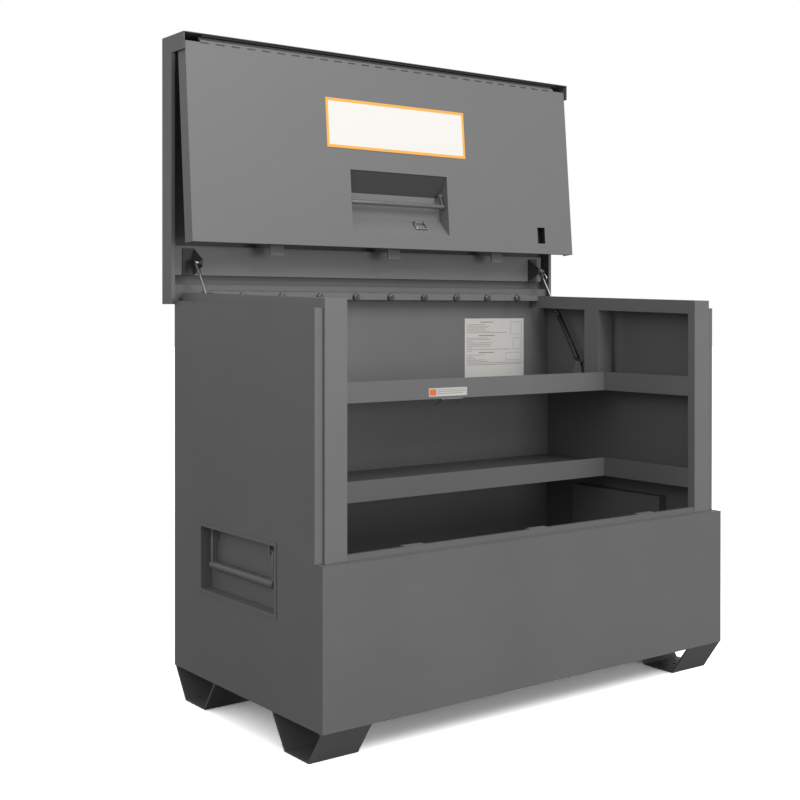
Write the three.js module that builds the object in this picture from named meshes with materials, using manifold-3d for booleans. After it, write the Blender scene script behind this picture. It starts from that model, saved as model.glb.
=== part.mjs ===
// Jobsite storage box, shown with its lid open: a welded steel box with a raised neck, a piano-hinged lid
// that carries a piano-hinged front door, shelves round the inside, recessed bail handles and bent-strip
// feet. Millimetres, +Z up, +Y towards the back. Heights are measured from the underside of the tub.
import * as THREE from "three";
import { mergeVertices } from "three/addons/utils/BufferGeometryUtils.js";
import Module from "manifold-3d";

const wasm = await Module();
wasm.setup();

// Driving dimensions: the body
const bodyWidth = 1524;
const bodyDepth = 720;
const sillHeight = 404;
const ledgeHeight = 1028;
const topSlopeDegrees = 1.75;
const sheet = 2;
const seatGap = 0.3;
const overrun = 4;

// Neck and front posts
const neckInset = 25.4;
const neckRise = 24;
const neckTopWidth = 68.6;
const neckLipDrop = 41;
const neckSkirt = 14;
const postSetback = 25.4;
const postReturn = 24;
const sideFrontEdge = 32.5;
const rimDepth = 44;
const rimLip = 16;

// Sill and strikes
const sillRise = 15;
const sillSetback = 29;
const sillDepth = 38;
const sillLipDrop = 22;
const strikeShare = 0.5892;
const strikeWidth = 68;
const strikeHeight = 30;
const strikeReach = 7;

// Shelves
const upperShelfHeight = 819;
const lowerShelfHeight = 537;
const shelfFascia = 60;
const shelfLip = 25;
const shelfRun = 339;
const dividerSetback = 25;
const dividerWidth = 59;
const shelfLabelWidth = 152;
const shelfLabelHeight = 25;
const shelfLabelOffset = 18;
const shelfLabelDrop = 28;
const clipWidth = 80;
const clipDrop = 18;
const clipReach = 26;
const clipWire = 3;
const cardWidth = 278;
const cardHeight = 200;
const cardInset = 168;
const cardThickness = 0.8;

// Feet
const footHeight = 88;
const footWidth = 152;
const footTopLength = 220;
const footBottomLength = 105;
const footPlate = 5;
const footFlange = 14;
const footInset = 2;
const casterHole = 10.5;
const casterPitch = 70;

// Handle pockets and bail handles
const pocketShare = 0.5375;
const pocketHeight = 336;
const pocketLength = 366;
const pocketTall = 177;
const pocketDepth = 34;
const pocketWall = 2;
const pocketRim = 8;
const bailMargin = 33;
const bailDrop = 84;
const bailWire = 10;
const bailPin = 3.8;
const bailGrip = 21;
const bailPivotDrop = 22;
const lugThickness = 6;
const lugReach = 24;
const pivotClearance = 0.6;

// Lid, open and upright behind the body
const lidOverhang = 13;
const lidBottom = 1040;
const lidTop = 1812;
const lidRise = 44;
const lidDepth = 54;
const lidFrontDepth = 127;
const lidGusset = 50;
const lidLip = 12;
const lidLipClearance = 6;
const lidReturn = 23;
const channelBottom = 1125;
const channelHeight = 86;
const channelDepth = 26;
const channelInset = 25;

// Piano hinges
const hingeInset = 6.2;
const hingeRise = 1.2;
const knuckleRadius = 5.5;
const knuckleBore = 3.1;
const hingePinRadius = 2.5;
const hingeLeaf = 2.3;
const leafOffset = 0.6;
const rearHingeInset = 102;
const rearHingePitch = 88;
const movingLeafWidth = 20;
const doorHingeInset = 51;
const doorHingePitch = 53;
const boltInset = 100;
const boltCount = 9;
const boltRadius = 4;
const boltHole = 4.6;
const boltHeadRadius = 5.6;
const boltHeadHeight = 4;
const boltEnd = 3;
const nutRadius = 11;
const nutHeight = 9;

// Door, hanging from the lid's front flange and leaning out a little
const doorInset = 8;
const doorAxisSetback = 17;
const doorAxisDrop = 19;
const doorLeanDegrees = 4.25;
const doorDrop = 579;
const doorTopEdge = 6;
const doorFaceOffset = 9;
const doorFlange = 42;
const doorBottomFlange = 15;
const doorLeafDrop = 28;
const lidLeafDepth = 24;
const sealHeight = 6;
const sealDepth = 16;
const plateWidth = 564;
const plateHeight = 153;
const plateDrop = 122;
const plateThickness = 1.2;
const lockInset = 149;
const lockSlotWidth = 36;
const lockSlotHeight = 55;
const lockSlotDrop = 489;
const lockCaseDepth = 26;
const lockCaseWall = 2;
const lockCaseRim = 9;

// Door recess, grab bar, latch and hasp
const recessWidth = 394;
const recessTop = 339;
const recessBottom = 531;
const recessDepth = 44;
const recessWall = 2;
const recessRim = 10;
const recessHood = 64;
const recessSlope = 54;
const grabBarDrop = 436;
const grabBarInset = 15;
const grabBarRadius = 7;
const grabPivotDrop = 398;
const grabPivotInset = 28;
const grabPivotRadius = 5;
const grabArm = 6;
const grabMargin = 14;
const grabStub = 27;
const latchRailHeight = 18;
const latchRailDrop = 560;
const latchPlate = 4;
const tongueWidth = 50;
const tongueReach = 28;
const haspOffset = 94;
const haspDrop = 490;
const haspWidth = 50;
const haspLength = 26;
const haspWire = 4.5;
const haspEar = 4;
const haspEarReach = 12;

// Gas struts
const strutInset = 35.6;
const strutFootSetback = 134;
const strutFootRise = 46;
const strutHeadInset = 20;
const strutHeadHeight = 1160;
const tubeRadius = 9;
const tubeBore = 6.5;
const tubeFloor = 3;
const fittingLength = 18;
const fittingRadius = 5;
const rodRadius = 4;
const strutShares = { tube: 0.5, rodStart: 0.42, guideStart: 0.5 };
const guideLength = 10;
const guideRadius = 6.2;
const guideBore = 4.4;
const eyeRadius = 9;
const eyeWidth = 12;
const eyeBore = 4.6;
const strutPin = 4;
const bracketPlate = 4;
const bracketHeight = 78;
const bracketWidth = 40;
const bracketReach = 10;
const bracketBoss = 6;
const footPlateLength = 46;
const strutSlotInset = 120;
const strutSlotLength = 112;
const strutSlotWidth = 34;

// Derived places
const halfWidth = bodyWidth / 2;
const slope = THREE.MathUtils.degToRad(topSlopeDegrees);
const slopeRise = Math.tan(slope);
const neckX = halfWidth - neckInset;
const neckInnerX = neckX - neckTopWidth;
const strikeSpacing = halfWidth * strikeShare;
const strutOffset = neckX - strutInset;
const shelfFront = bodyDepth - shelfRun;
const upperDeck = upperShelfHeight - shelfLip;
const dividerFront = shelfFront + dividerSetback;
const pocketCentre = bodyDepth * pocketShare;
const strutFootY = shelfFront + strutFootSetback;
const strutHeadY = bodyDepth - strutHeadInset;
const strutSlotStart = bodyDepth - strutSlotInset;
const cardOffset = neckInnerX - cardInset;
const rearHingeLength = bodyWidth - 2 * rearHingeInset;
const boltPitch = (rearHingeLength - 2 * boltInset) / (boltCount - 1);
const ledgeAt = (y) => ledgeHeight + (y - postSetback) * slopeRise;
const neckAt = (y) => ledgeAt(y) + neckRise;
const hingeY = bodyDepth + hingeInset;
const hingeHeight = neckAt(bodyDepth) + hingeRise;
const rimHeight = hingeHeight - leafOffset - hingeLeaf - seatGap;
const lidBackY = hingeY + lidRise;
const lidFrontY = lidBackY - lidFrontDepth;
const lidLipY = lidBackY - lidDepth;
const halfLid = halfWidth + lidOverhang;
const doorAxisY = lidFrontY + doorAxisSetback;
const doorAxisHeight = lidTop - doorAxisDrop;
const lean = THREE.MathUtils.degToRad(doorLeanDegrees);
const halfDoor = halfLid - doorInset;
const doorHingeLength = 2 * (halfDoor - doorHingeInset);
const lockOffset = halfDoor - lockInset;
const fineSides = 16;
const coarseSides = 10;
const knuckleSides = 8;
const nutSides = 6;

// Solids
function solid(geometry) {
  const plain = geometry.clone();
  plain.deleteAttribute("normal");
  plain.deleteAttribute("uv");
  const merged = mergeVertices(plain, 1e-4);
  const vertProperties = new Float32Array(merged.attributes.position.array);
  const triVerts = new Uint32Array(merged.index.array);
  return new wasm.Manifold(new wasm.Mesh({ numProp: 3, vertProperties, triVerts }));
}

const join = (pieces) => pieces.reduce((whole, piece) => whole.add(piece));
const cut = (whole, tools) => tools.reduce((rest, tool) => rest.subtract(tool), whole);

function block(x0, x1, y0, y1, z0, z1) {
  const geometry = new THREE.BoxGeometry(x1 - x0, y1 - y0, z1 - z0);
  geometry.translate((x0 + x1) / 2, (y0 + y1) / 2, (z0 + z1) / 2);
  return solid(geometry);
}

// A prism along X whose section is a list of [y, z] points
function prismX(points, x0, x1) {
  const shape = new THREE.Shape(points.map(([y, z]) => new THREE.Vector2(y, z)));
  const geometry = new THREE.ExtrudeGeometry(shape, { depth: x1 - x0, bevelEnabled: false });
  geometry.rotateY(Math.PI / 2);
  geometry.rotateX(Math.PI / 2);
  geometry.translate(x0, 0, 0);
  return solid(geometry);
}

// A band of constant height between two places along Y that follows the slope of the top
function slopedBand(x0, x1, y0, y1, height, drop, thickness) {
  const points = [[y0, height(y0) - drop - thickness], [y1, height(y1) - drop - thickness]];
  points.push([y1, height(y1) - drop], [y0, height(y0) - drop]);
  return prismX(points, x0, x1);
}

// A round bar from one point to another
function rod(from, to, radius, sides = fineSides) {
  const start = new THREE.Vector3(...from);
  const end = new THREE.Vector3(...to);
  const axis = end.clone().sub(start);
  const geometry = new THREE.CylinderGeometry(radius, radius, axis.length(), sides);
  const upright = new THREE.Vector3(0, 1, 0);
  const turn = new THREE.Quaternion().setFromUnitVectors(upright, axis.clone().normalize());
  geometry.applyQuaternion(turn);
  const middle = start.add(end).multiplyScalar(0.5);
  geometry.translate(middle.x, middle.y, middle.z);
  return solid(geometry);
}

const ball = (at, radius) => {
  const geometry = new THREE.SphereGeometry(radius, fineSides, coarseSides);
  geometry.translate(...at);
  return solid(geometry);
};

// A strip of plate bent along a list of [y, z] points, with the plate on the left of the walk
function bentStrip(points, thickness, x0, x1) {
  const outer = points.map(([y, z]) => new THREE.Vector2(y, z));
  const inner = outer.map((point, i) => {
    const before = i > 0 ? point.clone().sub(outer[i - 1]).normalize() : null;
    const after = i < outer.length - 1 ? outer[i + 1].clone().sub(point).normalize() : null;
    const first = before || after;
    const second = after || before;
    const normal = new THREE.Vector2(-first.y - second.y, first.x + second.x).normalize();
    const spread = normal.dot(new THREE.Vector2(-first.y, first.x));
    return point.clone().addScaledVector(normal, thickness / spread);
  });
  const outline = [...outer, ...inner.reverse()].map((point) => [point.x, point.y]);
  return prismX(outline, x0, x1);
}

// Materials
const paint = new THREE.MeshStandardMaterial({ color: 0x6b6b6d, roughness: 0.5, metalness: 0.1 });
const darkPaint = new THREE.MeshStandardMaterial({ color: 0x4c4c4e, roughness: 0.55, metalness: 0.1 });
const steel = new THREE.MeshStandardMaterial({ color: 0xb4b6b8, roughness: 0.3, metalness: 0.9 });
const rubber = new THREE.MeshStandardMaterial({ color: 0x161617, roughness: 0.8, metalness: 0 });
const card = new THREE.MeshStandardMaterial({ color: 0xe8e4dc, roughness: 0.6, metalness: 0 });

const box = new THREE.Group();

function piece(parent, name, shape, material) {
  const { vertProperties, triVerts } = shape.getMesh();
  const geometry = new THREE.BufferGeometry();
  geometry.setAttribute("position", new THREE.BufferAttribute(vertProperties, 3));
  geometry.setIndex(new THREE.BufferAttribute(triVerts, 1));
  geometry.computeVertexNormals();
  const mesh = new THREE.Mesh(geometry, material);
  mesh.name = name;
  parent.add(mesh);
}

// Mirrors a solid that was built on the right side
const mirrored = (shape) => shape.scale([-1, 1, 1]);

function pair(parent, base, shape, material) {
  piece(parent, `${base}_right`, shape, material);
  piece(parent, `${base}_left`, mirrored(shape), material);
}

const body = new THREE.Group();
body.position.set(0, -lidBackY / 2, footHeight);
box.add(body);

// Tub front with its stepped sill
function frontPanel() {
  const top = sillHeight;
  const between = neckInnerX - seatGap;
  const inner = halfWidth - sheet - seatGap;
  return join([
    block(-halfWidth, halfWidth, 0, sheet, 0, top),
    block(-inner, inner, 0, sillSetback, top - sheet, top),
    block(-between, between, sillSetback - sheet, sillSetback, top - sheet, top + sillRise),
    block(-between, between, sillSetback - sheet, sillDepth, top + sillRise - sheet, top + sillRise),
    block(-between, between, sillDepth - sheet, sillDepth, top + sillRise - sillLipDrop, top + sillRise),
  ]);
}

// One strike: a plate behind the sill's inner lip with a cap over the sill's edge
function strike(x) {
  const y = sillDepth + seatGap;
  const top = sillHeight + sillRise + seatGap;
  const half = strikeWidth / 2;
  const plate = block(x - half, x + half, y, y + strikeReach, top - strikeHeight, top + sheet);
  const cap = block(x - half, x + half, y - strikeReach, y + strikeReach, top, top + sheet);
  return plate.add(cap);
}

function backPanel() {
  const side = halfWidth - sheet - seatGap;
  const y0 = bodyDepth - sheet;
  const shoulder = ledgeAt(y0) - sheet - seatGap;
  const between = neckInnerX - seatGap;
  const panel = join([
    block(-side, side, y0, bodyDepth, 0, shoulder),
    block(-neckX, neckX, y0, bodyDepth, shoulder - sheet, rimHeight),
    block(-between, between, rimFront, bodyDepth, rimHeight - sheet, rimHeight),
    block(-between, between, rimFront, rimFront + sheet, rimHeight - rimLip, rimHeight),
  ]);
  const holes = boltPlaces().map((x) => rod(
    [x, rimFront - overrun, boltZ], [x, rimFront + sheet + overrun, boltZ], boltHole, coarseSides,
  ));
  return cut(panel, holes);
}

function bottomPanel() {
  const side = halfWidth - sheet - seatGap;
  return block(-side, side, sheet + seatGap, bodyDepth - sheet - seatGap, 0, sheet);
}

const pocketFront = pocketCentre - pocketLength / 2;
const pocketBack = pocketCentre + pocketLength / 2;
const pocketBottom = pocketHeight - pocketTall / 2;
const pocketTop = pocketHeight + pocketTall / 2;

// Outer side panel with its front and top returns and the cut-out for the handle pocket
function sidePanel() {
  const y0 = sheet + seatGap;
  const inner = neckX + seatGap;
  const rise = sillHeight - sheet - seatGap;
  const outline = [[y0, 0], [bodyDepth, 0], [bodyDepth, ledgeAt(bodyDepth)]];
  outline.push([sideFrontEdge, ledgeAt(sideFrontEdge)], [sideFrontEdge, rise], [y0, rise]);
  const returnLow = sillHeight + seatGap;
  const returnOutline = [[sideFrontEdge, returnLow], [sideFrontEdge + sheet, returnLow]];
  returnOutline.push([sideFrontEdge + sheet, ledgeAt(sideFrontEdge + sheet)]);
  returnOutline.push([sideFrontEdge, ledgeAt(sideFrontEdge)]);
  const wall = join([
    prismX(outline, halfWidth - sheet, halfWidth),
    prismX(returnOutline, inner, halfWidth),
    slopedBand(inner, halfWidth, sideFrontEdge, bodyDepth, ledgeAt, 0, sheet),
  ]);
  const opening = block(
    halfWidth - sheet - overrun, halfWidth + overrun,
    pocketFront - seatGap, pocketBack + seatGap, pocketBottom - seatGap, pocketTop + seatGap,
  );
  return wall.subtract(opening);
}

// Neck: outer skin, top face with a slot for the strut, and inner lip
function neckChannel() {
  const y0 = postSetback + postReturn + seatGap;
  const y1 = bodyDepth - sheet - seatGap;
  const channel = join([
    slopedBand(neckX - sheet, neckX, y0, y1, neckAt, 0, neckRise + neckSkirt),
    slopedBand(neckInnerX, neckX, y0, y1, neckAt, 0, sheet),
    slopedBand(neckInnerX, neckInnerX + sheet, y0, y1, neckAt, 0, neckLipDrop),
  ]);
  const x0 = strutOffset - strutSlotWidth / 2 - bracketPlate;
  const x1 = strutOffset + strutSlotWidth / 2;
  const z = neckAt(strutSlotStart);
  const slotEnd = strutSlotStart + strutSlotLength;
  return channel.subtract(block(x0, x1, strutSlotStart, slotEnd, z - neckRise, z + neckRise));
}

// Front post: face, inner return and outer return, closed at the top by its own cap
function frontPost() {
  const z0 = sillHeight + seatGap;
  const y1 = postSetback + postReturn;
  const face = (x0, x1, y0, yEnd, drop) => {
    const points = [[y0, z0], [yEnd, z0], [yEnd, neckAt(yEnd) - drop], [y0, neckAt(y0) - drop]];
    return prismX(points, x0, x1);
  };
  return join([
    face(neckInnerX, neckX, postSetback, postSetback + sheet, 0),
    face(neckInnerX, neckInnerX + sheet, postSetback, y1, 0),
    face(neckX - sheet, neckX, postSetback, y1, 0),
    slopedBand(neckInnerX, neckX, postSetback, y1, neckAt, 0, sheet),
  ]);
}

// U-shaped shelf: a back run and two arms, each with a fascia that stands above its deck as a lip
function shelf(height) {
  const outer = halfWidth - sheet - seatGap;
  const y0 = postSetback + postReturn + seatGap;
  const y1 = bodyDepth - sheet - seatGap;
  const low = height - shelfFascia;
  const deck = height - shelfLip;
  const runs = [block(-outer, outer, shelfFront, y1, deck - sheet, deck)];
  runs.push(block(-neckInnerX, neckInnerX, shelfFront, shelfFront + sheet, low, height));
  for (const side of [1, -1]) {
    const [x0, x1] = [side * neckInnerX, side * outer].sort((a, b) => a - b);
    runs.push(block(x0, x1, y0, shelfFront + sheet, deck - sheet, deck));
    const [lip0, lip1] = [side * neckInnerX, side * (neckInnerX + sheet)].sort((a, b) => a - b);
    runs.push(block(lip0, lip1, y0, shelfFront + sheet, low, height));
  }
  return join(runs);
}

// Divider between the side compartments above the upper shelf
function divider() {
  const z0 = upperDeck + seatGap;
  const top = (y) => neckAt(y) - neckLipDrop - seatGap;
  const y1 = dividerFront + dividerWidth;
  const face = [[dividerFront, z0], [y1, z0], [y1, top(y1)], [dividerFront, top(dividerFront)]];
  const y2 = dividerFront + sheet;
  const web = [[dividerFront, z0], [y2, z0], [y2, top(y2)], [dividerFront, top(dividerFront)]];
  const skin = neckX - sheet - seatGap;
  return prismX(face, neckInnerX, neckInnerX + sheet).add(prismX(web, neckInnerX, skin));
}

// Bent-strip foot; the strip is open at both sides
function foot(centre) {
  const top = footTopLength / 2;
  const bottom = footBottomLength / 2;
  const y = (value) => centre + value;
  const low = -footHeight;
  const high = -seatGap;
  const points = [[y(-top + footFlange), high], [y(-top), high], [y(-bottom), low], [y(bottom), low]];
  points.push([y(top), high], [y(top - footFlange), high]);
  const x1 = halfWidth - footInset;
  const x0 = x1 - footWidth;
  const strip = bentStrip(points, footPlate, x0, x1);
  const middle = (x0 + x1) / 2;
  const half = casterPitch / 2;
  const spots = [[0, 0], [-half, -half], [half, -half], [-half, half], [half, half]];
  const holes = spots.map(([dx, dy]) => {
    const x = middle + dx;
    const holeY = centre + dy * footBottomLength / footWidth;
    return rod([x, holeY, low - overrun], [x, holeY, low + footPlate + overrun], casterHole / 2, coarseSides);
  });
  return cut(strip, holes);
}

// Places of the rear hinge's bolts, which lie along Y through the rim's lip
const rimFront = bodyDepth - rimDepth;
const boltZ = rimHeight - rimLip / 2;
const middleBolt = (boltCount - 1) / 2;
const boltPlaces = () => Array.from({ length: boltCount }, (_, i) => (i - middleBolt) * boltPitch);

// Bail pivot, shared by the lugs of the pocket and the bail
const bailZ = pocketTop - bailPivotDrop;
const bailX = halfWidth - pocketDepth + lugReach / 2 + bailWire / 2;
const bailHalf = pocketLength / 2 - bailMargin;

// Handle pocket: an open box with a rim outside the panel and two lugs for the bail
function handlePocket() {
  const x0 = halfWidth - pocketDepth;
  const rimX = halfWidth + seatGap;
  const rimEnd = rimX + pocketWall;
  const shell = block(x0 - pocketWall, rimEnd, pocketFront, pocketBack, pocketBottom, pocketTop);
  const rim = block(
    rimX, rimEnd,
    pocketFront - pocketRim, pocketBack + pocketRim, pocketBottom - pocketRim, pocketTop + pocketRim,
  );
  const hollow = block(
    x0, rimEnd + overrun,
    pocketFront + pocketWall, pocketBack - pocketWall, pocketBottom + pocketWall, pocketTop - pocketWall,
  );
  let pocket = shell.add(rim).subtract(hollow);
  for (const side of [1, -1]) {
    const inside = pocketCentre + side * (bailHalf - bailWire / 2 - seatGap);
    const ys = [inside, inside - side * lugThickness].sort((a, b) => a - b);
    const z = bailZ - bailWire;
    pocket = pocket.add(block(x0, x0 + lugReach, ys[0], ys[1], z, pocketTop - pocketWall / 2));
    const bore = bailPin + pivotClearance;
    const far = side * (lugThickness + bailWire);
    const drill = rod([bailX, inside + far, bailZ], [bailX, inside - far, bailZ], bore, coarseSides);
    pocket = pocket.subtract(drill);
  }
  return pocket;
}

// Bail handle: two legs with pins inward into the lugs, and a thick grip
function bail() {
  const legs = [];
  const low = bailZ - bailDrop;
  for (const side of [1, -1]) {
    const y = pocketCentre + side * bailHalf;
    legs.push(rod([bailX, y, bailZ], [bailX, y, low], bailWire / 2, coarseSides));
    legs.push(ball([bailX, y, bailZ], bailWire / 2));
    const tip = y - side * (bailWire / 2 + seatGap + lugThickness);
    legs.push(rod([bailX, y, bailZ], [bailX, tip, bailZ], bailPin, coarseSides));
  }
  const reach = bailHalf + bailWire / 2;
  const grip = rod([bailX, pocketCentre - reach, low], [bailX, pocketCentre + reach, low], bailGrip / 2);
  return join([grip, ...legs]);
}

piece(body, "tub_front_panel", frontPanel(), paint);
piece(body, "back_panel", backPanel(), paint);
piece(body, "bottom_panel", bottomPanel(), paint);
pair(body, "side_panel", sidePanel(), paint);
pair(body, "neck_channel", neckChannel(), paint);
pair(body, "front_post", frontPost(), paint);
pair(body, "shelf_divider", divider(), paint);
piece(body, "upper_shelf", shelf(upperShelfHeight), paint);
piece(body, "lower_shelf", shelf(lowerShelfHeight), paint);
pair(body, "handle_pocket", handlePocket(), paint);
pair(body, "bail_handle", bail(), paint);
const frontFoot = footInset + footTopLength / 2;
pair(body, "front_foot", foot(frontFoot), darkPaint);
pair(body, "rear_foot", foot(bodyDepth - frontFoot), darkPaint);
piece(body, "strike_centre", strike(0), paint);
pair(body, "strike", strike(strikeSpacing), paint);

// A leaf of a piano hinge about an axis along X at the origin: its knuckles and one or more plates.
// Phase 0 and 1 are the two leaves, whose knuckles take turns along the hinge.
function hingeLeafSolid(length, pitch, phase, plates) {
  const count = Math.round(length / pitch);
  const step = length / count;
  const half = step / 2;
  const own = [];
  const other = [];
  const reach = knuckleRadius + leafOffset;
  for (let i = 0; i < count; i += 1) {
    const x = -length / 2 + i * step;
    const mine = x + phase * half;
    const theirs = x + (1 - phase) * half;
    own.push(rod([mine + seatGap, 0, 0], [mine + half - seatGap, 0, 0], knuckleRadius, knuckleSides));
    other.push(block(theirs - seatGap, theirs + half + seatGap, -reach, reach, -reach, reach));
  }
  const leaf = join(own).add(cut(join(plates), other));
  return leaf.subtract(rod([-length, 0, 0], [length, 0, 0], knuckleBore, knuckleSides));
}

// Fixed leaf over the rim of the back panel and down in front of its lip, with its bolts and nuts
function rearFixedLeaf() {
  const half = rearHingeLength / 2;
  const top = -leafOffset;
  const bottom = top - hingeLeaf;
  const back = rimFront - seatGap - hingeY;
  const front = back - hingeLeaf;
  const low = rimHeight - rimLip - hingeHeight;
  const plates = [block(-half, half, front, 0, bottom, top), block(-half, half, front, back, low, top)];
  const leaf = hingeLeafSolid(rearHingeLength, rearHingePitch, 0, plates);
  const z = boltZ - hingeHeight;
  const headFront = back + seatGap + sheet + seatGap;
  const headBack = headFront + boltHeadHeight;
  const nutFront = front - nutHeight;
  const bolts = boltPlaces().map((x) => join([
    rod([x, nutFront - boltEnd, z], [x, headBack, z], boltRadius, coarseSides),
    rod([x, nutFront, z], [x, front, z], nutRadius, nutSides),
    rod([x, headFront, z], [x, headBack, z], boltHeadRadius, coarseSides),
  ]));
  return join([leaf, ...bolts]);
}

// Moving leaf in front of the lid's return
function rearMovingLeaf() {
  const half = rearHingeLength / 2;
  const plate = block(-half, half, knuckleRadius - hingeLeaf, knuckleRadius, 0, movingLeafWidth);
  return hingeLeafSolid(rearHingeLength, rearHingePitch, 1, [plate]);
}

const hingePin = (length) => rod([-length / 2, 0, 0], [length / 2, 0, 0], hingePinRadius, knuckleSides);

const rearHinge = new THREE.Group();
rearHinge.position.set(0, hingeY, hingeHeight);
body.add(rearHinge);
piece(rearHinge, "rear_hinge_fixed_leaf", rearFixedLeaf(), steel);
piece(rearHinge, "rear_hinge_pin", hingePin(rearHingeLength), steel);
piece(rearHinge, "rear_hinge_moving_leaf", rearMovingLeaf(), steel);

// Lid: a shallow pan with a deep front flange, corner gussets and a return for the rear hinge
function lidShell() {
  const back = lidBackY;
  const low = lidBottom;
  const returnY = hingeY + knuckleRadius + seatGap;
  const pieces = [
    block(-halfLid, halfLid, back - sheet, back, low, lidTop),
    block(-halfLid, halfLid, lidFrontY, back, lidTop - sheet, lidTop),
    block(-halfLid, halfLid, returnY, back, low, low + sheet),
    block(-halfLid, halfLid, returnY, returnY + sheet, low, hingeHeight + lidReturn),
  ];
  const gusset = lidTop - lidGusset;
  const outline = [[lidLipY, low], [back, low], [back, lidTop], [lidFrontY, lidTop], [lidFrontY, gusset]];
  outline.push([lidLipY, gusset]);
  const lipStart = ledgeAt(bodyDepth) + lidLipClearance;
  const flange = prismX(outline, halfLid - sheet, halfLid);
  const lip = block(halfLid - lidLip, halfLid, lidLipY, lidLipY + sheet, lipStart, gusset);
  const side = flange.add(lip);
  return join([...pieces, side, mirrored(side)]);
}

// Hat channel that stiffens the lid and carries the strut brackets
function lidChannel() {
  const back = lidBackY - sheet - seatGap;
  const front = back - channelDepth;
  const half = halfLid - channelInset;
  const top = channelBottom + channelHeight;
  return join([
    block(-half, half, front, front + sheet, channelBottom, top),
    block(-half, half, front, back, channelBottom, channelBottom + sheet),
    block(-half, half, front, back, top - sheet, top),
  ]);
}

piece(body, "lid_shell", lidShell(), paint);
piece(body, "lid_channel", lidChannel(), paint);

// Door, built about its hinge axis with the door hanging straight down, then leaned out
const doorHinge = new THREE.Group();
doorHinge.position.set(0, doorAxisY, doorAxisHeight);
body.add(doorHinge);
const door = new THREE.Group();
door.rotation.x = -lean;
doorHinge.add(door);

const faceFront = -doorFaceOffset;
const faceBack = faceFront + sheet;
const recessHalf = recessWidth / 2;
const recessBackY = faceBack + seatGap + recessDepth;

// Lid-side leaf: up to the flange and back along its underside
function doorLidLeaf() {
  const half = doorHingeLength / 2;
  const ceiling = doorAxisDrop - sheet - seatGap;
  const y0 = leafOffset + hingeLeaf;
  const web = block(-half, half, y0, y0 + hingeLeaf, 0, ceiling);
  const foot = block(-half, half, y0, y0 + lidLeafDepth, ceiling - hingeLeaf, ceiling);
  return hingeLeafSolid(doorHingeLength, doorHingePitch, 0, [web, foot]);
}

function doorLeaf() {
  const half = doorHingeLength / 2;
  const y0 = faceBack + seatGap;
  const plate = block(-half, half, y0, y0 + hingeLeaf, -doorLeafDrop, 0);
  return hingeLeafSolid(doorHingeLength, doorHingePitch, 1, [plate]);
}

function doorSeal() {
  const half = doorHingeLength / 2;
  const ceiling = doorAxisDrop - sheet - seatGap;
  const back = leafOffset + hingeLeaf - seatGap;
  return block(-half, half, back - sealDepth, back, ceiling - sealHeight, ceiling);
}

// Door skin with its side flanges, bottom flange and the openings for the recess and the lock
function doorShell() {
  const half = halfDoor;
  const low = -doorDrop;
  const flangeBack = faceFront + doorFlange;
  const skin = join([
    block(-half, half, faceFront, faceBack, low, -doorTopEdge),
    block(-half, -half + sheet, faceFront, flangeBack, low, -doorTopEdge - knuckleRadius),
    block(half - sheet, half, faceFront, flangeBack, low, -doorTopEdge - knuckleRadius),
    block(-half, half, faceFront, faceFront + doorBottomFlange, low, low + sheet),
  ]);
  const y0 = faceFront - overrun;
  const y1 = faceBack + overrun;
  const lockHalf = lockSlotWidth / 2;
  const lockLow = -lockSlotDrop - lockSlotHeight;
  return cut(skin, [
    block(-recessHalf, recessHalf, y0, y1, -recessBottom, -recessTop),
    block(lockOffset - lockHalf, lockOffset + lockHalf, y0, y1, lockLow, -lockSlotDrop),
  ]);
}

// An open-fronted box behind the door skin with a rim round its mouth
function backBox(x0, x1, z0, z1, wall, rim, depth) {
  const y0 = faceBack + seatGap;
  const shell = block(x0 - wall, x1 + wall, y0, y0 + depth, z0 - wall, z1 + wall);
  const lip = block(x0 - rim, x1 + rim, y0, y0 + wall, z0 - rim, z1 + rim);
  return shell.add(lip).subtract(block(x0, x1, y0 - overrun, y0 + depth - wall, z0, z1));
}

const grabPivotY = faceFront + grabPivotInset;
const recessMouth = faceBack + seatGap;
const recessInner = recessBackY - recessWall;
const slopeTop = recessSlope - recessBottom;
const slopeReach = recessInner - recessMouth;
const slopeY = (z) => recessInner - (slopeTop - z) / recessSlope * slopeReach;
const slopeAngle = Math.atan2(slopeReach, recessSlope);
const haspY = slopeY(-haspDrop) - haspEarReach / 2;

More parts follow.
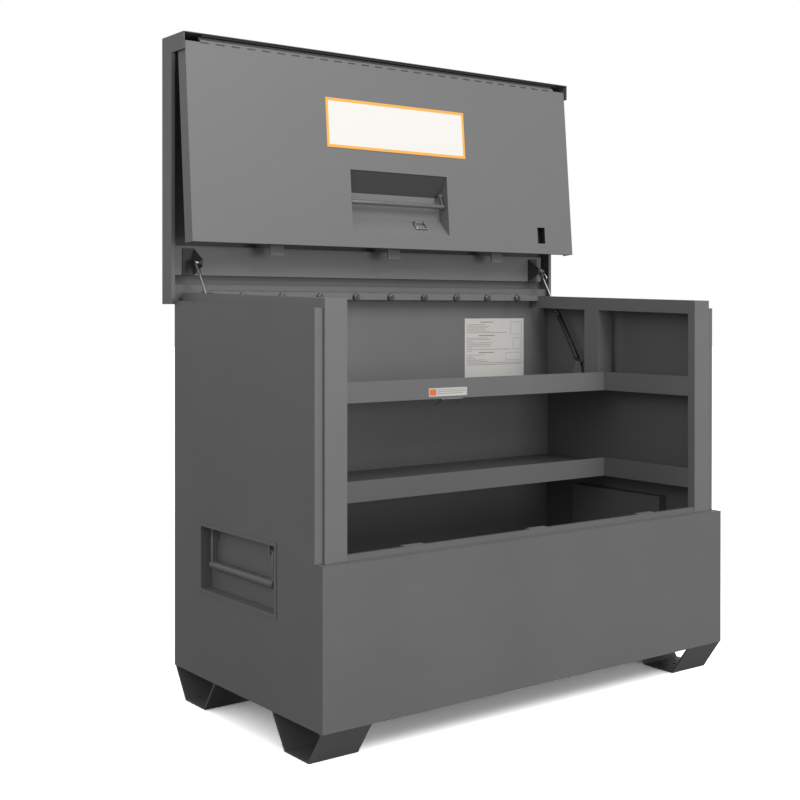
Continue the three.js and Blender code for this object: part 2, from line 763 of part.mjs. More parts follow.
// Door recess: a sheet bent into a hood, a back and a lower slope, with end walls and ears for the hasp
function doorRecess() {
  const end = recessHalf + recessWall;
  const hoodLow = -recessTop - recessHood;
  const walk = [[recessMouth, recessRim - recessTop], [recessMouth, -recessTop], [recessInner, hoodLow]];
  walk.push([recessInner, slopeTop], [recessMouth, -recessBottom], [recessMouth, -recessBottom - recessRim]);
  const strip = bentStrip(walk, recessWall, -end, end);
  const outline = [[recessMouth, -recessTop], [recessBackY, hoodLow], [recessBackY, slopeTop]];
  outline.push([recessMouth, -recessBottom]);
  const wall = prismX(outline, recessHalf, end);
  const flangeBack = recessMouth + recessWall;
  const flangeEnd = recessHalf + recessRim;
  const flange = block(recessHalf, flangeEnd, recessMouth, flangeBack, -recessBottom, -recessTop);
  const side = wall.add(flange);
  const bore = grabPivotRadius + pivotClearance;
  const wallEnd = end + overrun;
  const pivot = rod([-wallEnd, grabPivotY, -grabPivotDrop], [wallEnd, grabPivotY, -grabPivotDrop], bore);
  const back = slopeY(-haspDrop) + recessWall / 2;
  const ears = [1, -1].map((hand) => {
    const x = haspOffset + hand * (haspWidth / 2 - haspWire - seatGap);
    const [x0, x1] = [x, x - hand * haspEar].sort((a, b) => a - b);
    return block(x0, x1, haspY - haspEarReach / 2, back, -haspDrop - haspWire, -haspDrop + haspWire);
  });
  const far = haspWidth;
  const pin = haspWire / 2 + pivotClearance;
  const pinEnds = [haspOffset - far, haspOffset + far].map((at) => [at, haspY, -haspDrop]);
  const drill = rod(...pinEnds, pin, coarseSides);
  return join([join([strip, side, mirrored(side)]).subtract(pivot), join(ears).subtract(drill)]);
}

// Grab bar on two arms that turn about stubs in the end walls of the recess
function grabBar() {
  const armX = recessHalf - grabMargin;
  const barY = faceFront + grabBarInset;
  const stubEnd = recessHalf + recessWall / 2;
  const pieces = [rod([-armX, barY, -grabBarDrop], [armX, barY, -grabBarDrop], grabBarRadius)];
  for (const side of [1, -1]) {
    const x = side * (armX - grabArm);
    const stubStart = side * (stubEnd - grabStub);
    const stubTip = side * stubEnd;
    pieces.push(rod([x, barY, -grabBarDrop], [x, grabPivotY, -grabPivotDrop], grabArm, coarseSides));
    pieces.push(ball([side * armX, barY, -grabBarDrop], grabBarRadius));
    const ends = [stubStart, stubTip].map((at) => [at, grabPivotY, -grabPivotDrop]);
    pieces.push(rod(...ends, grabPivotRadius));
  }
  return join(pieces);
}

// Latch rail with its three tongues, sliding up and down against the back of the recess
function latchRail() {
  const y0 = recessBackY + seatGap;
  const y1 = y0 + latchPlate;
  const half = strikeSpacing + tongueWidth;
  const pieces = [block(-half, half, y0, y1, -latchRailDrop, -latchRailDrop + latchRailHeight)];
  const stem = recessHalf / 2;
  const stemTop = slopeTop + latchRailHeight;
  pieces.push(block(-stem, stem, y0, y1, -latchRailDrop, stemTop));
  for (const x of [-strikeSpacing, 0, strikeSpacing]) {
    const x0 = x - tongueWidth / 2;
    pieces.push(block(x0, x0 + tongueWidth, y0, y1, -doorDrop - tongueReach, -latchRailDrop + sheet));
  }
  return join(pieces);
}

const lockCase = () => backBox(
  lockOffset - lockSlotWidth / 2, lockOffset + lockSlotWidth / 2,
  -lockSlotDrop - lockSlotHeight, -lockSlotDrop, lockCaseWall, lockCaseRim, lockCaseDepth,
);

// Hasp: a wire loop in the two ears of the recess that lies along its lower slope
function hasp() {
  const half = haspWidth / 2 - haspWire / 2;
  const low = -haspDrop - haspLength * Math.cos(slopeAngle);
  const lowY = haspY - haspLength * Math.sin(slopeAngle);
  const bar = (from, to) => rod(from, to, haspWire / 2, coarseSides);
  const corners = [1, -1].flatMap((side) => {
    const x = haspOffset + side * half;
    return [bar([x, haspY, -haspDrop], [x, lowY, low]), ball([x, lowY, low], haspWire / 2)];
  });
  const top = [haspOffset - half - haspWire / 2, haspOffset + half + haspWire / 2];
  corners.push(bar([top[0], haspY, -haspDrop], [top[1], haspY, -haspDrop]));
  corners.push(bar([haspOffset - half, lowY, low], [haspOffset + half, lowY, low]));
  return join(corners);
}

function namePlate() {
  const half = plateWidth / 2;
  const y1 = faceFront - seatGap;
  return block(-half, half, y1 - plateThickness, y1, -plateDrop - plateHeight, -plateDrop);
}

piece(doorHinge, "door_hinge_lid_leaf", doorLidLeaf(), steel);
piece(doorHinge, "door_hinge_pin", hingePin(doorHingeLength), steel);
piece(doorHinge, "door_seal_strip", doorSeal(), rubber);
piece(door, "door_hinge_door_leaf", doorLeaf(), steel);
piece(door, "door_shell", doorShell(), paint);
piece(door, "door_recess", doorRecess(), paint);
piece(door, "grab_bar", grabBar(), paint);
piece(door, "latch_rail", latchRail(), steel);
piece(door, "lock_case", lockCase(), darkPaint);
piece(door, "hasp_loop", hasp(), steel);
piece(door, "label_plate", namePlate(), card);

// Strut pieces, built along their own upright axis from the lower pivot, then leaned back to the upper one
const footHeightAbove = upperDeck + strutFootRise;
const strutRunY = strutHeadY - strutFootY;
const strutRunZ = strutHeadHeight - footHeightAbove;
const strutLength = Math.hypot(strutRunY, strutRunZ);
const tubeLength = strutLength * strutShares.tube;
const rodStart = strutLength * strutShares.rodStart;
const guideStart = strutLength * strutShares.guideStart;

function strutEye(z, bored) {
  const half = eyeWidth / 2;
  const ring = rod([-half, 0, z], [half, 0, z], eyeRadius);
  return bored ? ring.subtract(rod([-eyeWidth, 0, z], [eyeWidth, 0, z], eyeBore)) : ring;
}

function strutFitting() {
  const stem = rod([0, 0, (eyeBore + eyeRadius) / 2], [0, 0, fittingLength], fittingRadius);
  return strutEye(0, true).add(stem);
}

function strutTube() {
  const z0 = fittingLength + seatGap;
  const z1 = z0 + tubeLength;
  const bore = rod([0, 0, z0 + tubeFloor], [0, 0, z1 + overrun], tubeBore);
  return rod([0, 0, z0], [0, 0, z1], tubeRadius).subtract(bore);
}

function strutGuide() {
  const z1 = guideStart + guideLength;
  const ring = rod([0, 0, guideStart], [0, 0, z1], guideRadius);
  return ring.subtract(rod([0, 0, guideStart - overrun], [0, 0, z1 + overrun], guideBore));
}

function strutRod() {
  const shaft = rod([0, 0, rodStart], [0, 0, strutLength - eyeRadius / 2], rodRadius);
  return shaft.add(strutEye(strutLength, false));
}

// Lower bracket on the shelf: base, two cheeks and the pin through the eye
function strutFootBracket() {
  const cheek = eyeWidth / 2 + seatGap;
  const base = -strutFootRise + seatGap;
  const outer = cheek + bracketPlate;
  const half = footPlateLength / 2;
  const pieces = [block(-outer, outer, -half, half, base, base + bracketPlate)];
  for (const side of [1, -1]) {
    const [x0, x1] = [side * cheek, side * outer].sort((a, b) => a - b);
    const outline = [[-half, base], [half, base], [eyeRadius, eyeRadius], [-eyeRadius, eyeRadius]];
    pieces.push(prismX(outline, x0, x1));
  }
  pieces.push(rod([-outer - sheet, 0, 0], [outer + sheet, 0, 0], strutPin));
  return join(pieces);
}

// Upper bracket on the lid channel: foot plate, arm and a boss beside the rod's eye
function strutHeadBracket() {
  const back = lidBackY - sheet - seatGap - channelDepth - seatGap - strutHeadY;
  const z0 = channelBottom - strutHeadHeight;
  const armEnd = -eyeWidth / 2 - bracketBoss;
  const armStart = armEnd - bracketPlate;
  const plate = block(armStart, armStart + bracketWidth, back - bracketPlate, back, z0, z0 + bracketHeight);
  const top = z0 + bracketHeight;
  const outline = [[back, z0], [back, top], [-bracketReach, eyeRadius], [-bracketReach, -eyeRadius]];
  const arm = prismX(outline, armStart, armEnd);
  const boss = rod([armStart, 0, 0], [-eyeWidth / 2 - seatGap, 0, 0], eyeRadius);
  return join([plate, arm, boss]);
}

function strutGroup(side) {
  const name = side > 0 ? "right" : "left";
  const flip = (shape) => (side > 0 ? shape : mirrored(shape));
  const foot = new THREE.Group();
  foot.position.set(side * strutOffset, strutFootY, footHeightAbove);
  body.add(foot);
  piece(foot, `strut_foot_bracket_${name}`, flip(strutFootBracket()), paint);
  const strut = new THREE.Group();
  strut.rotation.x = -Math.atan2(strutRunY, strutRunZ);
  foot.add(strut);
  piece(strut, `strut_fitting_${name}`, flip(strutFitting()), steel);
  piece(strut, `strut_tube_${name}`, flip(strutTube()), rubber);
  piece(strut, `strut_guide_${name}`, flip(strutGuide()), steel);
  piece(strut, `strut_rod_${name}`, flip(strutRod()), steel);
  const head = new THREE.Group();
  head.position.set(side * strutOffset, strutHeadY, strutHeadHeight);
  body.add(head);
  piece(head, `strut_head_bracket_${name}`, flip(strutHeadBracket()), paint);
}

strutGroup(1);
strutGroup(-1);

// Small pieces inside: the shelf's edge label, a wire clip under the shelf and the card on the back wall
function shelfLabel() {
  const y1 = shelfFront - seatGap;
  const z1 = upperShelfHeight - shelfLabelDrop;
  const x0 = -shelfLabelOffset - shelfLabelWidth / 2;
  return block(x0, x0 + shelfLabelWidth, y1 - cardThickness, y1, z1 - shelfLabelHeight, z1);
}

function wireClip() {
  const z = upperShelfHeight - shelfFascia - seatGap - clipWire / 2;
  const half = clipWidth / 2;
  const y0 = shelfFront;
  const y1 = shelfFront + clipReach;
  const bar = (from, to) => rod(from, to, clipWire / 2, knuckleSides);
  const low = z - clipDrop;
  return join([
    bar([-half, y0, z], [half, y0, z]),
    bar([-half, y0, z], [-half, y1, low]),
    bar([half, y0, z], [half, y1, low]),
    ball([-half, y0, z], clipWire / 2),
    ball([half, y0, z], clipWire / 2),
  ]);
}

function wallCard() {
  const y1 = bodyDepth - sheet - seatGap;
  const x0 = cardOffset - cardWidth / 2;
  const z0 = upperDeck + seatGap;
  return block(x0, x0 + cardWidth, y1 - cardThickness, y1, z0, z0 + cardHeight);
}

piece(body, "shelf_edge_label", shelfLabel(), card);
piece(body, "shelf_wire_clip", wireClip(), steel);
piece(body, "back_wall_card", wallCard(), card);

export default box;
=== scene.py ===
"""Looks of the jobsite storage box: powder-coated sheet steel, bright bolts and rods, a bare label plate."""
import math

import bmesh
import bpy
from mathutils import Matrix, Vector


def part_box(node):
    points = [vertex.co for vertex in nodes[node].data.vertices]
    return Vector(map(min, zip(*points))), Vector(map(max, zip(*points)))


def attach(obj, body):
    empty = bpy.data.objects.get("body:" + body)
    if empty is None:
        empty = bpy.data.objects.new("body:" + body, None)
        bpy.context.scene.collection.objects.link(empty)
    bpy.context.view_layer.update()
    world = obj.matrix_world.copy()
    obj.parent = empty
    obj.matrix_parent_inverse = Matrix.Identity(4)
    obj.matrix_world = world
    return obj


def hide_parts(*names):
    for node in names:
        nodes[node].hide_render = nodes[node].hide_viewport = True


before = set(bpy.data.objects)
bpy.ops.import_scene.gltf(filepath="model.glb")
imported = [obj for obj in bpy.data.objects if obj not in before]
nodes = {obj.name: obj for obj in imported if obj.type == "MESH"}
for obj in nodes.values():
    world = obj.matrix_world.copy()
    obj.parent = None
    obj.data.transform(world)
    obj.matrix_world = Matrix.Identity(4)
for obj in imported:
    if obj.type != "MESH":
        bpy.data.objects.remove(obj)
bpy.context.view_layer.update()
scene = bpy.context.scene

# Metres in an inch, and millimetres in a metre
INCH = 0.0254
MILLIMETRES = 1000

# Camera, from the fit to the photograph: pixels, degrees, and inches from the tub's front and underside
IMAGE_SIDE = 800
FOCAL_PIXELS = 1237.2
CENTRE_PIXELS = (270.0, 315.2)
YAW, PITCH = 33.84, -0.21
EYE_INCHES = (-99.2, -94.3, 40.2)
SENSOR = 36.0
CLIP_NEAR, CLIP_FAR = 0.05, 100

tub_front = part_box("tub_front_panel")[0].y
tub_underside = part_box("tub_front_panel")[0].z

# Light: strength of the surroundings, and brightness of the floor in bounced light and to the camera
AMBIENT = 0.60
FLOOR_BOUNCE, FLOOR_SEEN = 0.22, 2.6
FLOOR_REACH = 30

# Each lamp: place and target in metres, side of its square, watts
LAMPS = {
    "front_key": ((0.5, -3.8, 4.4), (0, 0, 0.9), 3.0, 150),
    "front_fill": ((0.3, -6.0, 1.0), (0, 0, 0.9), 2.0, 88),
    "left_fill": ((-5.0, -1.5, 2.4), (0, 0, 0.8), 3.0, 50),
}

# Lengths of the finer pieces are millimetres, and a profile lists (distance, radius).
# Points on the box are measured from the tub's middle, front and underside.
# Points on the door are measured from its hinge axis, along the leaning door.
DOOR_AXIS = (0.0, 660.2, 1793.0)
DOOR_LEAN = 4.25

# Number of sides of round shapes
HEXAGON = 6
CLIP_SIDES = 10
WIRE_SIDES = 16
THREAD_SIDES = 20
PIN_SIDES = 24
BOSS_SIDES = 28
ROUND_SIDES = 32
WASHER_SIDES = 36
GRIP_SIDES = 40
BEND_STEPS = 8
END_STEPS = 10

# Bail handle: pivot, half the span of its legs, and drop; then bar, sleeve on each leg, washer and grip
BAIL_PIVOT = (745.0, 387.0, 402.5)
BAIL_HALF, BAIL_DROP = 150.0, 84.0
BAIL_BAR, BAIL_BEND = 3.8, 4.2
BAIL_PIN = 11.3
BAIL_SUNK = 2
BAIL_SLEEVE, BAIL_TAPER = 5.0, 3
BAIL_WASHER_START, BAIL_WASHER_END = 5.2, 4.4
BAIL_WASHER = [(0, BAIL_BAR), (0.1, 5.6), (0.7, 5.6)]
GRIP_OVERHANG = 5
GRIP_END = [(0, 7.5), (0.8, 9.2), (2.2, 10.2), (4, 10.5)]

# Grab bar: pivot and bar as (y, z) on the door, place of its arms, then arm, stub and collar
GRAB_PIVOT, GRAB_BAR, GRAB_ARM = (19.0, -398.0), (6.0, -436.0), 177.0
GRAB_OVERHANG = 13
GRAB_END = [(0, 5.6), (0.8, 6.9), (1.6, 7.3)]
ARM_RADIUS = 6.0
ARM_INNER, ARM_OUTER = 5, 9
STUB_INNER, STUB_OUTER = 6, 21
STUB = [(9.8, 4.2), (10.4, 5.0), (27, 5.0)]
COLLAR = [(15.2, 7.0), (15.6, 7.6), (19.0, 7.6), (19.4, 7.0)]

# Hasp: the middle of its hinged bar, half its width, and the (y, z) of its free bar
HASP_PLACE, HASP_HALF = (94.0, 19.19, -490.0), 22.75
HASP_BAR = (3.23, -510.5)
HASP_WIRE, HASP_BEND = 2.2, 2.6

# Label plate on the door, and its border
PLATE_HALF, PLATE_TOP, PLATE_BOTTOM, PLATE_FACE = 282.0, -122.0, -275.0, -10.5
BORDER_WIDTH, BORDER_PROUD = 9.0, 0.25

# Rear hinge bolts: places, front of the leaf, height, back of the rim's lip, and profiles along each bolt
BOLT_PITCH, BOLTS_BESIDE = 140.0, 4
NUT_PLACES = [BOLT_PITCH * step for step in range(-BOLTS_BESIDE, BOLTS_BESIDE + 1)]
NUT_FACE, NUT_Z, LIP_BACK = 673.4, 1063.2, 678.3
BOLT_RUN = 30
WASHER_PROFILE = [(-0.1, 12.4), (0.9, 12.4), (1.3, 12.0), (1.3, 8.0)]
NUT_PROFILE = [(1.2, 11.3), (9.1, 11.3), (10.0, 9.9)]
THREAD_PROFILE = [(9.6, 3.8), (10.1, 4.3), (10.6, 3.8), (11.1, 4.3), (11.6, 3.8), (12.2, 3.4)]
HEAD_PROFILE = [(0.1, 5.9), (3.0, 5.9), (4.2, 4.6), (4.4, 2.0)]

# Door hinge: half its length, its knuckle pairs, and the dark slabs of painted shade in the gaps below the
# lid leaf's knuckles
DOOR_HINGE_HALF, KNUCKLE_PAIRS = 716.0, 27
GAP_SHADE_MARGIN = 1.2
GAP_SHADE_FACE, GAP_SHADE_BACK = -9.3, -8.9
GAP_SHADE_LOW, GAP_SHADE_HIGH = -9.0, -4.5

# Gas struts: the ends of their line, then the tube, foot fitting, rod, socket and eyes along it
STRUT_FOOT = (701.0, 515.0, 840.0)
STRUT_HEAD = (701.0, 700.0, 1160.0)
TUBE_START = 18.3
TUBE_BORE = (21.3, 6.5)
TUBE_LIP = [(0, 6.5), (0, 7.4), (1.6, 8.6), (4, 9.0), (9, 9.0), (10, 8.5), (11.5, 8.5), (12.5, 9.0)]
TUBE_BASE = [(24, 9.0), (21, 8.6), (19, 7.4), (TUBE_START, 5.6)]
SHANK = [(7.5, 5.0), (11, 5.0), (12, 6.4), (17, 6.4), (18.4, 5.2)]
EYE_HALF, EYE_RADIUS, EYE_BORE, EYE_ROUNDING = 6.0, 9.0, 4.6, 0.9
ROD_START_SHARE = 0.42
ROD_RADIUS = 4.0
ROD_TIP = [(0, 3.4), (0.6, ROD_RADIUS)]
SOCKET_LENGTH = 24
SOCKET_NUT = [(-5, 4.2), (-5, 6.0), (-0.4, 6.0), (-0.4, 4.2)]
SOCKET_START = [(0, 5.2), (0.8, 6.2)]
SOCKET_END = [(-7, 6.2), (-6, 5.4)]
ROD_EYE = [(0, 6.5), (1.2, 8.6), (2.4, 9.0), (9.6, 9.0), (10.8, 8.6), (12, 6.5)]

# Spring clip: its wire, its two distances beside the strut, and its corners near the eye and down the strut
CLIP_WIRE, CLIP_BEND = 1.1, 2.0
CLIP_INNER, CLIP_OUTER = 7.4, 9.4
CLIP_EYE = [(-7, 6), (-11, -4)]
CLIP_NECK = (16, 9.5)
CLIP_TAIL = [(34, 9.5), (40, 3.0), (28, -3.0)]

# Print stands this far in front of its face and reaches this far behind it
PRINT_PROUD, PRINT_SUNK = 0.12, 0.05

# Card on the back wall: its corner and face, then headings (top, length), blocks of lines and empty frames
CARD_LEFT, CARD_TOP, CARD_FACE = 361.0, 994.3, 716.9
HEADING_MIDDLE, HEADING_HEIGHT = 101, 3.0
HEADINGS = ((11, 60), (57, 76), (115, 72))
LINE_LEFT, LINE_HEIGHT, LINE_PITCH = 9, 1.5, 5.6
LINE_BLOCKS = (
    (20, (88, 104, 96, 84, 108, 186)),
    (66, (96, 112, 26, 118, 108, 112, 26, 204, 24)),
    (124, (84, 26, 40, 84, 100, 262, 258)),
)
FRAME_LINE = 1.2
FRAMES = ((214, 12, 52, 42), (226, 68, 38, 38), (192, 118, 72, 26))

# Shelf edge label: its corner and face, the orange block, and the rules as (drop, length)
SHELF_LABEL_LEFT, SHELF_LABEL_TOP, SHELF_LABEL_FACE = -94.0, 791.0, 379.9
MARK_LEFT, MARK_RIGHT, MARK_TOP, MARK_BOTTOM = 3, 29, 3.5, 21.5
RULE_LEFT, RULE_HEIGHT = 33, 1.4
RULES = ((5.0, 112), (10.5, 114), (16.0, 104))

# Rounding of the CAD pieces' edges in metres, and the angles from which an edge is rounded or kept sharp
EDGE_ROUNDING, EDGE_SEGMENTS = 0.0009, 2
EDGE_ANGLE, SHARP_ANGLE = 40, 35

# Powder coat: cells per metre and detail of its noises, the parts of them that are used, and their effects
CLOUDS, PEEL, RUBS = (2.2, 3), (900, 2), (14, 6, 0.65)
CLOUD_RANGE, GLOSS_RANGE, WORN_RANGE = (0.35, 0.65), (0.3, 0.7), (0.62, 0.8)
TINT, GLOSSIER, DULLER, WORN_GAIN = 0.04, 0.05, 0.06, 1.6
COAT_SPECULAR = 0.45
COAT_BUMP = (0.25, 0.0002)
# Facing (height of the surface normal) over which the recess coat takes its painted shade
HOOD_SHADE_RANGE = (-0.1, -0.4)

# Plated metal and flat coats, in the same order
STREAKS, SPOTS, SPOT_RANGE = (240, 4, 0.6), (60, 3), (0.4, 0.7)
PLATE_DARK, PLATE_LIGHT = 0.9, 1.08
PLATE_GLOSSIER, PLATE_DULLER = 0.06, 0.1
PLATE_BUMP = (0.12, 0.0002)
GRAIN, GRAIN_DULLER = (4, 0.6), 0.12
FLAT_BUMP = (0.1, 0.0001)
GREY_BLUE = 1.015


def place(x, y, z):
    """A point in metres in the frame, from millimetres in tub coordinates."""
    return Vector((x / MILLIMETRES, tub_front + y / MILLIMETRES, tub_underside + z / MILLIMETRES))


DOOR_FRAME = Matrix.Translation(place(*DOOR_AXIS)) @ Matrix.Rotation(-math.radians(DOOR_LEAN), 4, "X")


def on_door(x, y, z):
    """A point in metres in the frame, from millimetres on the leaning door."""
    return DOOR_FRAME @ Vector((x / MILLIMETRES, y / MILLIMETRES, z / MILLIMETRES))


def make_camera():
    """The camera of the photograph, with its principal point set by shift."""
    data = bpy.data.cameras.new("camera")
    camera = bpy.data.objects.new("camera", data)
    scene.collection.objects.link(camera)
    data.sensor_width = SENSOR
    data.lens = FOCAL_PIXELS / IMAGE_SIDE * SENSOR
    data.shift_x = (IMAGE_SIDE / 2 - CENTRE_PIXELS[0]) / IMAGE_SIDE
    data.shift_y = (CENTRE_PIXELS[1] - IMAGE_SIDE / 2) / IMAGE_SIDE
    x, y, z = (value * INCH for value in EYE_INCHES)
    camera.location = (x, y + tub_front, z + tub_underside)
    yaw, pitch = math.radians(YAW), math.radians(PITCH)
    ahead = Vector((math.sin(yaw) * math.cos(pitch), math.cos(yaw) * math.cos(pitch), math.sin(pitch)))
    camera.rotation_euler = ahead.to_track_quat("-Z", "Y").to_euler()
    data.clip_start, data.clip_end = CLIP_NEAR, CLIP_FAR
    scene.camera = camera


# Materials

def new_material(name):
    """A material with its node tree and its main shader."""
    material = bpy.data.materials.new(name)
    material.use_nodes = True
    tree = material.node_tree
    return material, tree, tree.nodes["Principled BSDF"]


def node(tree, kind, **settings):
    """A new node with its settings."""
    made = tree.nodes.new(kind)
    for key, value in settings.items():
        setattr(made, key, value)
    return made


def noise(tree, scale, detail, roughness=0.5, stretch=(1, 1, 1)):
    """A noise texture in metres, in the object's own coordinates."""
    coordinates = node(tree, "ShaderNodeTexCoord")
    mapping = node(tree, "ShaderNodeMapping")
    mapping.inputs["Scale"].default_value = stretch
    texture = node(tree, "ShaderNodeTexNoise")
    texture.inputs["Scale"].default_value = scale
    texture.inputs["Detail"].default_value = detail
    texture.inputs["Roughness"].default_value = roughness
    tree.links.new(coordinates.outputs["Object"], mapping.inputs["Vector"])
    tree.links.new(mapping.outputs["Vector"], texture.inputs["Vector"])
    return texture.outputs["Fac"]


def remap(tree, value, low, high, out_low, out_high):
    """Maps one range of a value on another."""
    made = node(tree, "ShaderNodeMapRange")
    limits = (("From Min", low), ("From Max", high), ("To Min", out_low), ("To Max", out_high))
    for name, number in limits:
        made.inputs[name].default_value = number
    tree.links.new(value, made.inputs["Value"])
    return made.outputs["Result"]


def blend_colours(tree, factor, first, second):
    """The first colour going over into the second."""
    made = node(tree, "ShaderNodeMix", data_type="RGBA")
    made.inputs["A"].default_value = (*first, 1)
    made.inputs["B"].default_value = (*second, 1)
    tree.links.new(factor, made.inputs["Factor"])
    return made.outputs["Result"]


def bump(tree, shader, height, strength, distance):
    """Raises the surface a little by a height value."""
    made = node(tree, "ShaderNodeBump")
    made.inputs["Strength"].default_value = strength
    made.inputs["Distance"].default_value = distance
    tree.links.new(height, made.inputs["Height"])
    tree.links.new(made.outputs["Normal"], shader.inputs["Normal"])


def grey(value):
    """A grey with a trace of blue."""
    return (value, value, value * GREY_BLUE)


def powder_coat(name, value, roughness=0.42, wear=0.0, clouding=1.0):
    """Satin powder coat: fine orange peel, faint clouding of colour and gloss, and some rubbed spots."""
    tint = TINT * clouding
    material, tree, shader = new_material(name)
    clouds = noise(tree, *CLOUDS)
    peel = noise(tree, *PEEL)
    rubs = noise(tree, *RUBS)
    dull, light = grey(value * (1 - tint)), grey(value * (1 + tint))
    base = blend_colours(tree, remap(tree, clouds, *CLOUD_RANGE, 0, 1), dull, light)
    if wear:
        worn = node(tree, "ShaderNodeMix", data_type="RGBA")
        worn.inputs["B"].default_value = (*grey(value * WORN_GAIN), 1)
        tree.links.new(base, worn.inputs["A"])
        tree.links.new(remap(tree, rubs, *WORN_RANGE, 0, wear), worn.inputs["Factor"])
        base = worn.outputs["Result"]
    tree.links.new(base, shader.inputs["Base Color"])
    gloss = remap(tree, rubs, *GLOSS_RANGE, roughness - GLOSSIER * clouding, roughness + DULLER * clouding)
    tree.links.new(gloss, shader.inputs["Roughness"])
    shader.inputs["Specular IOR Level"].default_value = COAT_SPECULAR
    bump(tree, shader, peel, *COAT_BUMP)
    return material


def coat_with_painted_hood_shade(name, value, shadow, **finish):
    """Satin powder coat with painted shade: darker where it faces down, as the shade that falls in the hood
    of the recess.
    """
    material = powder_coat(name, value, **finish)
    tree = material.node_tree
    shader = tree.nodes["Principled BSDF"]
    paint = shader.inputs["Base Color"].links[0].from_socket
    facing = node(tree, "ShaderNodeSeparateXYZ")
    coordinates = node(tree, "ShaderNodeTexCoord")
    tree.links.new(coordinates.outputs["Normal"], facing.inputs["Vector"])
    # Painted shade: the paint is multiplied darker where the surface faces down
    tint = node(tree, "ShaderNodeMix", data_type="RGBA", blend_type="MULTIPLY")
    tint.inputs["B"].default_value = (*grey(shadow), 1)
    tree.links.new(remap(tree, facing.outputs["Z"], *HOOD_SHADE_RANGE, 0, 1), tint.inputs["Factor"])
    tree.links.new(paint, tint.inputs["A"])
    tree.links.new(tint.outputs["Result"], shader.inputs["Base Color"])
    return material


def plated(name, value, roughness, streak=(1, 1, 1)):
    """Zinc plate or bright steel with drawn streaks along one direction."""
    material, tree, shader = new_material(name)
    streaks = noise(tree, *STREAKS, streak)
    spots = noise(tree, *SPOTS)
    dark, light = grey(value * PLATE_DARK), grey(value * PLATE_LIGHT)
    base = blend_colours(tree, remap(tree, spots, *SPOT_RANGE, 0, 1), dark, light)
    tree.links.new(base, shader.inputs["Base Color"])
    shader.inputs["Metallic"].default_value = 1
    gloss = remap(tree, streaks, *GLOSS_RANGE, roughness - PLATE_GLOSSIER, roughness + PLATE_DULLER)
    tree.links.new(gloss, shader.inputs["Roughness"])
    bump(tree, shader, streaks, *PLATE_BUMP)
    return material


def flat_coat(name, first, second, roughness, scale=500):
    """A fine-grained coat of one colour: printed ink, enamel, rubber (black as painted shade on the seal) or
    card.
    """
    material, tree, shader = new_material(name)
    grain = noise(tree, scale, *GRAIN)
    tree.links.new(blend_colours(tree, grain, first, second), shader.inputs["Base Color"])
    gloss = remap(tree, grain, *GLOSS_RANGE, roughness, roughness + GRAIN_DULLER)
    tree.links.new(gloss, shader.inputs["Roughness"])
    bump(tree, shader, grain, *FLAT_BUMP)
    return material


make_camera()

# Tones of the one grey paint, a little lighter or darker from piece to piece as the photograph shows them.
# Among them are painted light and shade: darker paint on the tub front and lower shelf, lighter paint on the
# bottom panel and lid channel, which lie in shade, and darker paint where the recess faces down.
SMOOTH = {"roughness": 0.45, "clouding": 0.3}
BODY = powder_coat("body_coat", 0.150)
# Painted shade: darker paint for the tub front and lower shelf
TUB_PAINTED_SHADE = powder_coat("tub_painted_shade_coat", 0.128)
# Painted light: lighter paint for the bottom panel and lid channel, which lie in shade
PAINTED_LIGHT = powder_coat("painted_light_coat", 0.210)
DOOR = powder_coat("door_coat", 0.165, **SMOOTH)
# Recess coat with painted shade where the hood faces down
RECESS_HOOD_SHADE = coat_with_painted_hood_shade("recess_hood_shade_coat", 0.165, 0.42, **SMOOTH)
SIDE = powder_coat("side_coat", 0.140)
FOOT = powder_coat("foot_coat", 0.10, roughness=0.5, wear=0.5)
# Painted shade: the lock case is near black for the dark of its slot
LOCK_SHADE = powder_coat("lock_shade_coat", 0.02, roughness=0.5)
# Painted shade: near black for the gaps between the hinge's knuckles
GAP_SHADE = powder_coat("gap_shade_coat", 0.055, roughness=0.5)
BRACKET = powder_coat("bracket_coat", 0.05, roughness=0.4)
HANDLE = powder_coat("handle_coat", 0.135, roughness=0.3, wear=0.3)
STRUT = powder_coat("strut_coat", 0.025, roughness=0.3)

# Bare and plated steel, with the stretch of its streaks
ACROSS, ALONG = (1, 12, 12), (12, 1, 1)
NUT = plated("nut_steel", 0.16, 0.35)
ZINC = plated("zinc_plate", 0.30, 0.42, ACROSS)
BRIGHT = plated("bright_steel", 0.62, 0.2, ALONG)
ROD = plated("rod_steel", 0.32, 0.22, ALONG)

# Rubber, card, enamel and print: two colours that mix in the grain, roughness, and cells per metre. The
# rubber is the seal under the lid's flange, black as painted shade of the gap there.
# Painted shade: the seal strip is black for the shade between the lid's flange and the door's top
SEAL_SHADE_RUBBER = flat_coat("seal_rubber_painted_shade", grey(0.010), grey(0.018), 0.7, 700)
CARD = flat_coat("card", (0.51, 0.50, 0.48), (0.60, 0.59, 0.56), 0.38)
PLATE = flat_coat("plate_enamel", (0.80, 0.78, 0.74), (0.84, 0.82, 0.78), 0.35, 60)
ORANGE = flat_coat("orange_enamel", (0.90, 0.40, 0.06), (0.95, 0.46, 0.09), 0.35, 300)
RED_ORANGE = flat_coat("label_orange", (0.72, 0.14, 0.03), (0.80, 0.18, 0.04), 0.4)
INK = flat_coat("ink", (0.20, 0.17, 0.15), (0.28, 0.25, 0.22), 0.45)

